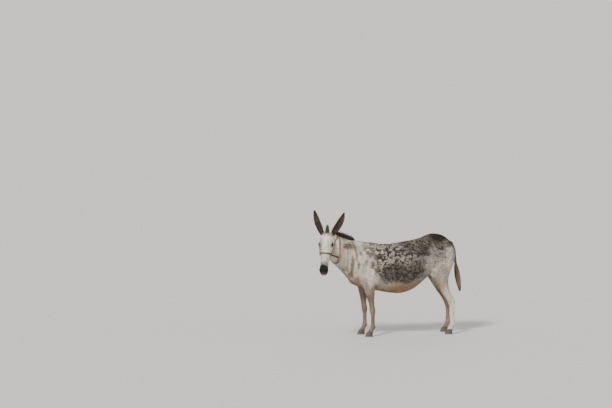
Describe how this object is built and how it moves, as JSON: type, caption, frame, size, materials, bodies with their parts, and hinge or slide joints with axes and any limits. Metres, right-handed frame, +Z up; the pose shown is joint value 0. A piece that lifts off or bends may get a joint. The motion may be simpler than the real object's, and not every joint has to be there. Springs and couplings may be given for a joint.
{
  "type": "donkey",
  "caption": "Life-size still model of a standing grey roan donkey wearing a plain halter, its head turned to its left, long ears raised, dark mane, and hooves on the floor.",
  "frame": {"origin": "on the floor, under the middle of the model's overall box", "axes": "+X from the head toward the tail, +Y toward the donkey's right side, +Z up"},
  "size_m": [1.8478, 0.6108, 1.5362],
  "materials": {
    "grey_coat": "short dense coat, pale cream flecked with dark grey-brown",
    "pale_coat": "short cream-white coat with grey shading",
    "leg_coat": "short grey-taupe coat",
    "ear_coat": "dark brown short hair with paler hair inside",
    "dark_hair": "long dark brown hair",
    "hoof": "dark grey horn with growth rings",
    "eye": "wet dark brown eye",
    "halter_strap": "worn tan-brown leather",
    "halter_ring": "dull weathered steel"
  },
  "bodies": {
    "root": {"trunk": "grey_coat", "neck": "pale_coat", "head": "pale_coat", "forearm_left": "leg_coat", "forearm_right": "leg_coat", "fore_cannon_left": "leg_coat", "fore_cannon_right": "leg_coat", "fore_pastern_left": "leg_coat", "fore_pastern_right": "leg_coat", "gaskin_left": "leg_coat", "gaskin_right": "leg_coat", "hind_cannon_left": "leg_coat", "hind_cannon_right": "leg_coat", "hind_pastern_left": "leg_coat", "hind_pastern_right": "leg_coat", "fore_hoof_left": "hoof", "fore_hoof_right": "hoof", "hind_hoof_left": "hoof", "hind_hoof_right": "hoof", "ear_left": "ear_coat", "ear_right": "ear_coat", "eye_left": "eye", "eye_right": "eye", "halter_cheek_left": "halter_strap", "halter_cheek_right": "halter_strap", "halter_ring_left": "halter_ring", "halter_ring_right": "halter_ring", "mane": "dark_hair", "forelock": "dark_hair", "halter_noseband": "halter_strap", "halter_chin_strap": "halter_strap", "halter_crown": "halter_strap", "halter_throat_strap": "halter_strap", "tail_dock": "grey_coat", "tail_switch": "dark_hair"}
  },
  "joints": []
}
